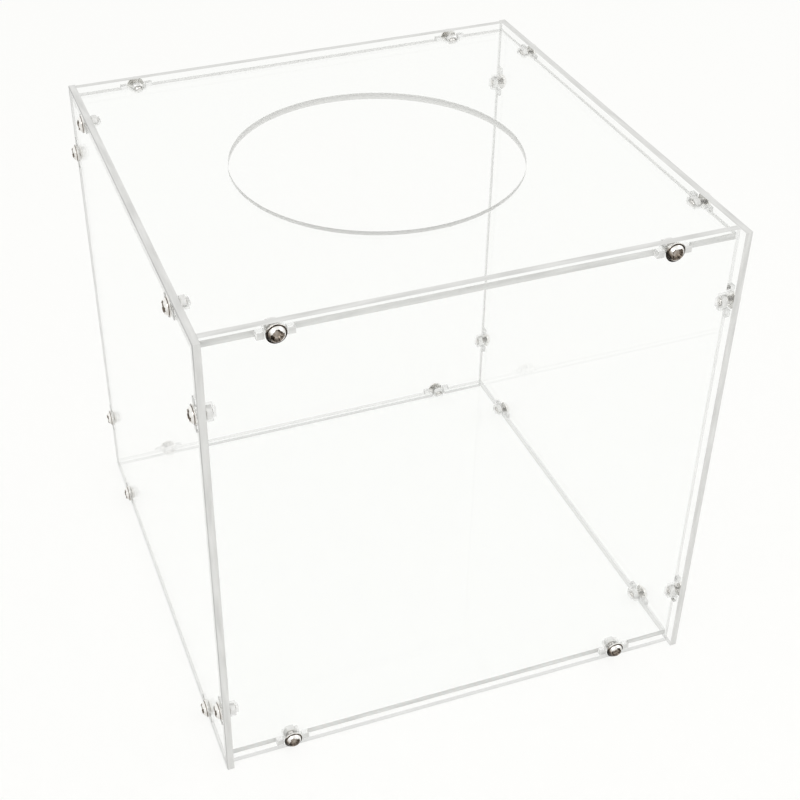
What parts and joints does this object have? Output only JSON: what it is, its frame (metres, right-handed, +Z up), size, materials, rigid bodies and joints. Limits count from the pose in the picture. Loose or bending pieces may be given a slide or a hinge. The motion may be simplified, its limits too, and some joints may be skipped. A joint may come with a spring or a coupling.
{
  "type": "ballot box",
  "caption": "Clear acrylic cube box with a round hand hole in the top, its flat laser-cut sheets slotted together at the edges and held by small screws with captive nuts.",
  "frame": {"origin": "on the floor under the middle of the whole box with its screw heads, at the level of the walls' lower edges", "axes": "+Z up through the hand hole, +X to the right across the two side walls, -Y to the front"},
  "size_m": [0.201, 0.2014, 0.2],
  "materials": {
    "acrylic": "clear cast acrylic sheet, polished faces, smooth laser-cut edges that read light grey",
    "screw": "bright nickel plating on a low domed cross-recess head",
    "nut": "bright nickel plating on a small hexagon nut"
  },
  "bodies": {
    "root": {"left_panel": "acrylic", "right_panel": "acrylic", "front_panel": "acrylic", "back_panel": "acrylic", "top_panel": "acrylic", "bottom_panel": "acrylic", "top_front_screws": "screw", "top_front_nuts": "nut", "top_back_screws": "screw", "top_back_nuts": "nut", "top_left_screws": "screw", "top_left_nuts": "nut", "top_right_screws": "screw", "top_right_nuts": "nut", "bottom_front_screws": "screw", "bottom_front_nuts": "nut", "bottom_back_screws": "screw", "bottom_back_nuts": "nut", "bottom_left_screws": "screw", "bottom_left_nuts": "nut", "bottom_right_screws": "screw", "bottom_right_nuts": "nut", "front_left_screws": "screw", "front_left_nuts": "nut", "front_right_screws": "screw", "front_right_nuts": "nut", "back_left_screws": "screw", "back_left_nuts": "nut", "back_right_screws": "screw", "back_right_nuts": "nut"}
  },
  "joints": []
}
